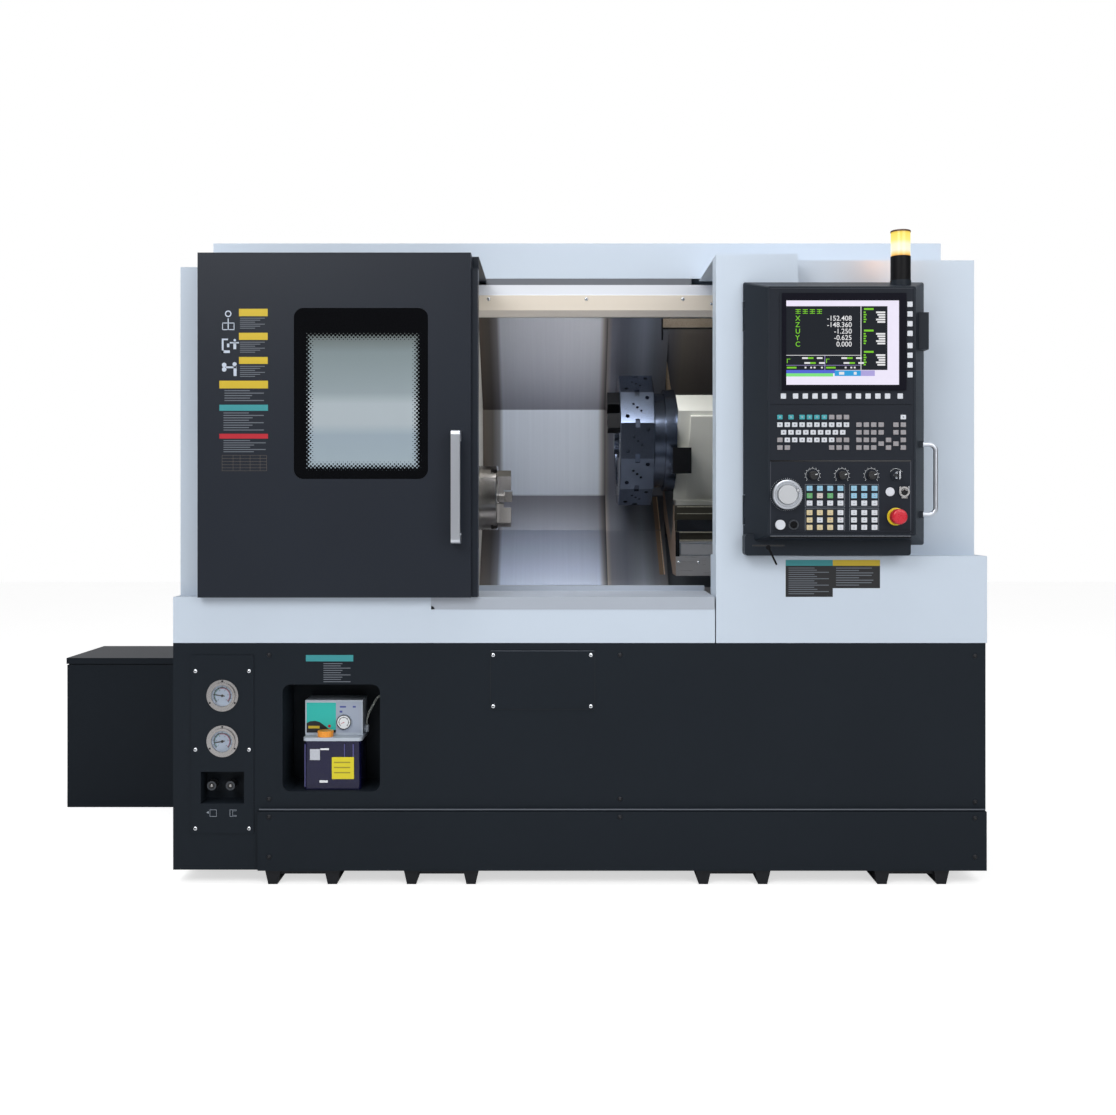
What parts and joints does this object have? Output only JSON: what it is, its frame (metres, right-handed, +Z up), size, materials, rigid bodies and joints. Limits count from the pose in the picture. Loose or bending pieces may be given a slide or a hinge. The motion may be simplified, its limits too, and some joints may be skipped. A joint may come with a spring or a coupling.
{
  "type": "slant-bed CNC turning centre",
  "caption": "Slant-bed turning centre with sliding door open, chuck, tool turret in the work space, control panel, lubricator niche and pressure gauges.",
  "frame": {"origin": "on the floor under the middle of the whole object's bounding box", "axes": "+X along the machine from the side tank to the control panel, +Y from the operator to the back, +Z up"},
  "size_m": [2.842, 1.797, 1.828],
  "materials": {
    "white_paint": "satin",
    "grey_paint": "satin",
    "dark_paint": "satin",
    "door_paint": "satin",
    "cream_paint": "satin",
    "brushed_steel": "brushed",
    "ground_steel": "ground",
    "black_steel": "satin",
    "cast_grey": "matt",
    "bright_grip": "satin",
    "smoked_glass": "polished",
    "pendant_paint": "satin",
    "light_plastic": "matt",
    "navy_tank": "translucent",
    "orange_plastic": "gloss",
    "clear_tube": "translucent",
    "black_plastic": "matt",
    "white_key": "matt",
    "button_plastic": "matt",
    "screen": "gloss",
    "red_plastic": "gloss",
    "amber_lens": "translucent",
    "belt_rubber": "matt",
    "stainless": "polished"
  },
  "bodies": {
    "machine": {"base_tub": "dark_paint", "chip_trough": "brushed_steel", "base_front_panel": "dark_paint", "access_cover": "dark_paint", "gauge_plate": "dark_paint", "machine_feet": "dark_paint", "lower_front_panel": "white_paint", "door_sill": "brushed_steel", "right_lower_block": "white_paint", "front_column": "white_paint", "left_fixed_panel": "white_paint", "rear_housing": "white_paint", "top_beam": "white_paint", "left_inner_wall": "cream_paint", "fixed_liner": "brushed_steel", "side_tank": "dark_paint", "bed_casting": "cast_grey", "headstock_casting": "cast_grey", "spindle_bearings": "ground_steel", "guide_rails": "ground_steel", "spindle_motor": "black_steel", "drive_belt": "belt_rubber", "lubricator_body": "light_plastic", "lubricator_tank": "navy_tank", "lube_tube": "clear_tube", "gauge_cases": "stainless"},
    "door": {"door_panel": "door_paint", "door_window": "smoked_glass", "door_handle": "bright_grip"},
    "spindle": {"spindle_shaft": "ground_steel", "chuck_body": "ground_steel"},
    "first_jaw": {"jaw_1": "ground_steel"},
    "second_jaw": {"jaw_2": "ground_steel"},
    "third_jaw": {"jaw_3": "ground_steel"},
    "motor_rotor": {"motor_pulley": "cast_grey"},
    "saddle": {"carriage": "cast_grey", "moving_liner": "brushed_steel"},
    "cross_slide": {"turret_housing": "cream_paint"},
    "turret": {"turret_disc": "ground_steel", "tool_blocks": "black_steel"},
    "filler_cap": {"lubricator_cap": "orange_plastic"},
    "chuck_needle": {"chuck_pressure_needle": "black_plastic"},
    "coolant_needle": {"coolant_pressure_needle": "black_plastic"},
    "chuck_knob": {"chuck_pressure_knob": "black_plastic"},
    "coolant_knob": {"coolant_pressure_knob": "black_plastic"},
    "pendant": {"pendant_shell": "pendant_paint", "pendant_face": "grey_paint", "pendant_screen": "screen", "keys": "white_key", "panel_buttons": "button_plastic", "pendant_grip": "bright_grip", "stack_light_body": "black_plastic", "stack_light_lens": "amber_lens"},
    "jog_wheel": {"handwheel": "bright_grip"},
    "first_override": {"override_knob_1": "black_plastic"},
    "second_override": {"override_knob_2": "black_plastic"},
    "third_override": {"override_knob_3": "black_plastic"},
    "lock_key": {"key_switch": "stainless"},
    "emergency_stop": {"estop_button": "red_plastic"},
    "cycle_start": {"start_button": "white_key"}
  },
  "joints": [
    {"name": "door_slide", "type": "slide", "parent": "machine", "child": "door", "axis": [1, 0, 0], "range_m": [0, 0.643]},
    {"name": "spindle_turn", "type": "hinge", "parent": "machine", "child": "spindle", "pos_m": [-0.2, -0.0595, 1.054], "axis": [1, 0, 0], "continuous": true},
    {"name": "first_jaw_slide", "type": "slide", "parent": "spindle", "child": "first_jaw", "axis": [0, -0.5736, 0.8192], "range_m": [-0.0037, 0]},
    {"name": "second_jaw_slide", "type": "slide", "parent": "spindle", "child": "second_jaw", "axis": [0, -0.4226, -0.9063], "range_m": [-0.0037, 0]},
    {"name": "third_jaw_slide", "type": "slide", "parent": "spindle", "child": "third_jaw", "axis": [0, 0.9962, 0.0872], "range_m": [-0.0037, 0]},
    {"name": "motor_turn", "type": "hinge", "parent": "machine", "child": "motor_rotor", "pos_m": [-0.45, 0.45, 0.992], "axis": [1, 0, 0], "continuous": true},
    {"name": "z_slide", "type": "slide", "parent": "machine", "child": "saddle", "axis": [1, 0, 0], "range_m": [-0.2, 0.12]},
    {"name": "x_slide", "type": "slide", "parent": "saddle", "child": "cross_slide", "axis": [0, 0.8387, 0.5446], "range_m": [-0.105, 0.005]},
    {"name": "turret_turn", "type": "hinge", "parent": "cross_slide", "child": "turret", "pos_m": [0.52, 0.25249, 1.25661], "axis": [1, 0, 0], "continuous": true},
    {"name": "filler_cap_turn", "type": "hinge", "parent": "machine", "child": "filler_cap", "pos_m": [-0.386, -0.699, 0.404], "axis": [0, 0, 1], "range_deg": [0, 120]},
    {"name": "chuck_needle_turn", "type": "hinge", "parent": "machine", "child": "chuck_needle", "pos_m": [-0.6577, -0.745, 0.5152], "axis": [0, -1, 0], "range_deg": [-217, 53]},
    {"name": "coolant_needle_turn", "type": "hinge", "parent": "machine", "child": "coolant_needle", "pos_m": [-0.6577, -0.745, 0.3912], "axis": [0, -1, 0], "range_deg": [-235, 35]},
    {"name": "chuck_knob_turn", "type": "hinge", "parent": "machine", "child": "chuck_knob", "pos_m": [-0.6923, -0.71, 0.266], "axis": [0, 1, 0], "continuous": true},
    {"name": "coolant_knob_turn", "type": "hinge", "parent": "machine", "child": "coolant_knob", "pos_m": [-0.6412, -0.71, 0.266], "axis": [0, 1, 0], "continuous": true},
    {"name": "pendant_swing", "type": "hinge", "parent": "machine", "child": "pendant", "pos_m": [0.7625, -0.7505, 1.28], "axis": [0, 0, 1], "range_deg": [-80, 0]},
    {"name": "jog_wheel_turn", "type": "hinge", "parent": "pendant", "child": "jog_wheel", "pos_m": [0.8555, -0.8605, 1.061], "axis": [0, 1, 0], "continuous": true},
    {"name": "first_override_turn", "type": "hinge", "parent": "pendant", "child": "first_override", "pos_m": [0.9244, -0.8605, 1.1116], "axis": [0, 1, 0], "range_deg": [-120, 120]},
    {"name": "second_override_turn", "type": "hinge", "parent": "pendant", "child": "second_override", "pos_m": [1.0015, -0.8605, 1.1116], "axis": [0, 1, 0], "range_deg": [-120, 120]},
    {"name": "third_override_turn", "type": "hinge", "parent": "pendant", "child": "third_override", "pos_m": [1.0789, -0.8605, 1.1116], "axis": [0, 1, 0], "range_deg": [-120, 120]},
    {"name": "lock_key_turn", "type": "hinge", "parent": "pendant", "child": "lock_key", "pos_m": [1.1444, -0.8605, 1.1116], "axis": [0, 1, 0], "range_deg": [0, 90]},
    {"name": "emergency_stop_push", "type": "slide", "parent": "pendant", "child": "emergency_stop", "axis": [0, 1, 0], "range_m": [0, 0.006]},
    {"name": "cycle_start_push", "type": "slide", "parent": "pendant", "child": "cycle_start", "axis": [0, 1, 0], "range_m": [0, 0.004], "stiffness_N_per_m": 300}
  ],
  "couplings": [
    {"joint": "second_jaw_slide", "follows": "first_jaw_slide", "ratio": 1},
    {"joint": "third_jaw_slide", "follows": "first_jaw_slide", "ratio": 1},
    {"joint": "motor_turn", "follows": "spindle_turn", "ratio": 1.5714}
  ]
}
